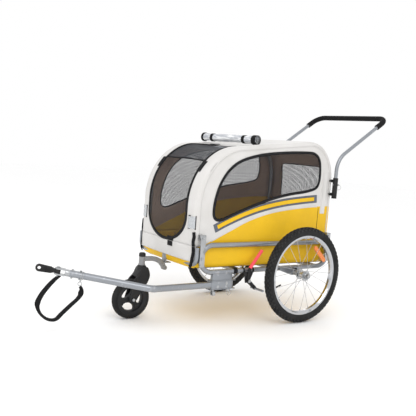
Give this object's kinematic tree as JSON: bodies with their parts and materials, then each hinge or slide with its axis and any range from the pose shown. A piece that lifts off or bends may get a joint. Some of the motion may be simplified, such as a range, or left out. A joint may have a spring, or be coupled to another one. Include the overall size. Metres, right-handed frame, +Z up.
{
  "type": "bicycle trailer",
  "caption": "Enclosed two-wheeled bicycle trailer for a dog, with a mesh-door fabric cabin, folding hoops, swivel caster, swinging drawbar and push handle.",
  "frame": {"origin": "centre of the bounding box at the ground plane", "axes": "+Z up; the trailer is towed towards -Y; its left side, with the drawbar, is +X"},
  "size_m": [0.816, 1.9925, 1.1304],
  "materials": {
    "tube_silver": "satin silver powder coat",
    "zinc": "bright zinc or chrome plate",
    "grey_arm": "grey paint",
    "alloy": "polished alloy",
    "black_plastic": "matt black",
    "bush_plastic": "off-white bearing plastic",
    "tyre_black": "matt",
    "rubber_black": "matt",
    "foam_black": "soft foam",
    "grip_red": "soft",
    "white_fabric": "coated polyester",
    "yellow_fabric": "coated polyester",
    "mesh_fabric": "open mesh",
    "window_film": "tinted film",
    "mat_fabric": "quilted pad",
    "board": "ribbed board",
    "webbing": "woven nylon"
  },
  "bodies": {
    "chassis": {"side_loop_left": "tube_silver", "side_loop_right": "tube_silver", "crossbars": "tube_silver", "floor_board": "board", "floor_mat": "mat_fabric", "tub": "yellow_fabric", "front_apron": "white_fabric", "corner_guards": "black_plastic", "fold_brackets": "zinc", "fold_pins": "zinc", "axle_carriers": "tube_silver", "axles": "zinc", "caster_arm": "grey_arm", "caster_cap": "black_plastic", "caster_bushes": "bush_plastic", "receiver": "tube_silver", "pivot_pin": "zinc", "rail_strap": "webbing", "brake_brackets": "black_plastic", "front_cover": "white_fabric", "side_cover_left": "white_fabric", "side_cover_right": "white_fabric", "roof_cover": "white_fabric", "rear_cover": "white_fabric", "door_mesh": "mesh_fabric", "side_windows": "window_film", "rear_window": "window_film", "rain_cover_roll": "white_fabric"},
    "wheel_left_body": {"wheel_left": "alloy", "tyre_left": "tyre_black", "hub_left": "alloy", "spokes_left": "zinc"},
    "wheel_right_body": {"wheel_right": "alloy", "tyre_right": "tyre_black", "hub_right": "alloy", "spokes_right": "zinc"},
    "caster_fork_body": {"caster_fork": "black_plastic", "caster_axle": "zinc"},
    "caster_wheel_body": {"caster_wheel": "black_plastic", "caster_tyre": "rubber_black"},
    "drawbar_body": {"drawbar": "tube_silver", "hitch_clevis": "tube_silver", "hitch_pin": "zinc", "snap_hook": "zinc", "safety_strap": "webbing"},
    "coupler_body": {"coupler": "rubber_black"},
    "latch_body": {"drawbar_latch": "zinc"},
    "brake_left_body": {"brake_lever_left": "black_plastic", "brake_grip_left": "grip_red"},
    "brake_right_body": {"brake_lever_right": "black_plastic", "brake_grip_right": "grip_red"},
    "front_hoop_body": {"front_hoop": "tube_silver"},
    "rear_hoop_body": {"rear_hoop": "tube_silver", "handle_sockets": "black_plastic"},
    "handle_body": {"handlebar": "tube_silver", "handle_grip": "foam_black"},
    "lock_pin_left_body": {"lock_pin_left": "zinc"},
    "lock_pin_right_body": {"lock_pin_right": "zinc"},
    "release_left_body": {"release_button_left": "black_plastic"},
    "release_right_body": {"release_button_right": "black_plastic"}
  },
  "joints": [
    {"name": "wheel_left_spin", "type": "hinge", "parent": "chassis", "child": "wheel_left_body", "pos_m": [0.362, 0.34896, 0.253], "axis": [1, 0, 0], "continuous": true},
    {"name": "wheel_right_spin", "type": "hinge", "parent": "chassis", "child": "wheel_right_body", "pos_m": [-0.362, 0.34896, 0.253], "axis": [1, 0, 0], "continuous": true},
    {"name": "caster_swivel", "type": "hinge", "parent": "chassis", "child": "caster_fork_body", "pos_m": [0, -0.41204, 0.2], "axis": [0, 0, 1], "continuous": true},
    {"name": "caster_spin", "type": "hinge", "parent": "caster_fork_body", "child": "caster_wheel_body", "pos_m": [0, -0.46304, 0.1], "axis": [1, 0, 0], "continuous": true},
    {"name": "drawbar_swing", "type": "hinge", "parent": "chassis", "child": "drawbar_body", "pos_m": [0.272, -0.06104, 0.212], "axis": [0, 0, 1], "range_deg": [0, 90]},
    {"name": "coupler_yaw", "type": "hinge", "parent": "drawbar_body", "child": "coupler_body", "pos_m": [0.11939, -0.9028, 0.28546], "axis": [0.0598, 0.1575, 0.9857], "range_deg": [-45, 45]},
    {"name": "drawbar_latch_pull", "type": "slide", "parent": "chassis", "child": "latch_body", "axis": [0, 0, -1], "range_m": [0, 0.012], "stiffness_N_per_m": 400},
    {"name": "brake_left_turn", "type": "hinge", "parent": "chassis", "child": "brake_left_body", "pos_m": [0.296, 0.03696, 0.226], "axis": [1, 0, 0], "range_deg": [-20, 11]},
    {"name": "brake_right_turn", "type": "hinge", "parent": "chassis", "child": "brake_right_body", "pos_m": [-0.296, 0.03696, 0.226], "axis": [1, 0, 0], "range_deg": [-20, 11]},
    {"name": "front_hoop_fold", "type": "hinge", "parent": "chassis", "child": "front_hoop_body", "pos_m": [0, -0.24704, 0.448], "axis": [-1, 0, 0], "range_deg": [0, 66], "deforming": ["front_cover", "side_cover_left", "side_cover_right", "roof_cover", "rear_cover", "door_mesh", "side_windows", "rear_window", "rain_cover_roll"]},
    {"name": "rear_hoop_fold", "type": "hinge", "parent": "chassis", "child": "rear_hoop_body", "pos_m": [0, 0.58696, 0.448], "axis": [1, 0, 0], "range_deg": [0, 51.33], "deforming": ["front_cover", "side_cover_left", "side_cover_right", "roof_cover", "rear_cover", "door_mesh", "side_windows", "rear_window", "rain_cover_roll"]},
    {"name": "handle_height", "type": "slide", "parent": "rear_hoop_body", "child": "handle_body", "axis": [0, 0, 1], "range_m": [0, 0.06]},
    {"name": "lock_pin_left_pull", "type": "slide", "parent": "rear_hoop_body", "child": "lock_pin_left_body", "axis": [0, 1, 0], "range_m": [0, 0.02]},
    {"name": "lock_pin_right_pull", "type": "slide", "parent": "rear_hoop_body", "child": "lock_pin_right_body", "axis": [0, 1, 0], "range_m": [0, 0.02]},
    {"name": "release_left_pull", "type": "slide", "parent": "chassis", "child": "release_left_body", "axis": [0, 0, 1], "range_m": [0, 0.006], "stiffness_N_per_m": 300},
    {"name": "release_right_pull", "type": "slide", "parent": "chassis", "child": "release_right_body", "axis": [0, 0, 1], "range_m": [0, 0.006], "stiffness_N_per_m": 300}
  ],
  "couplings": [
    {"joint": "rear_hoop_fold", "follows": "front_hoop_fold", "ratio": 0.7777}
  ]
}
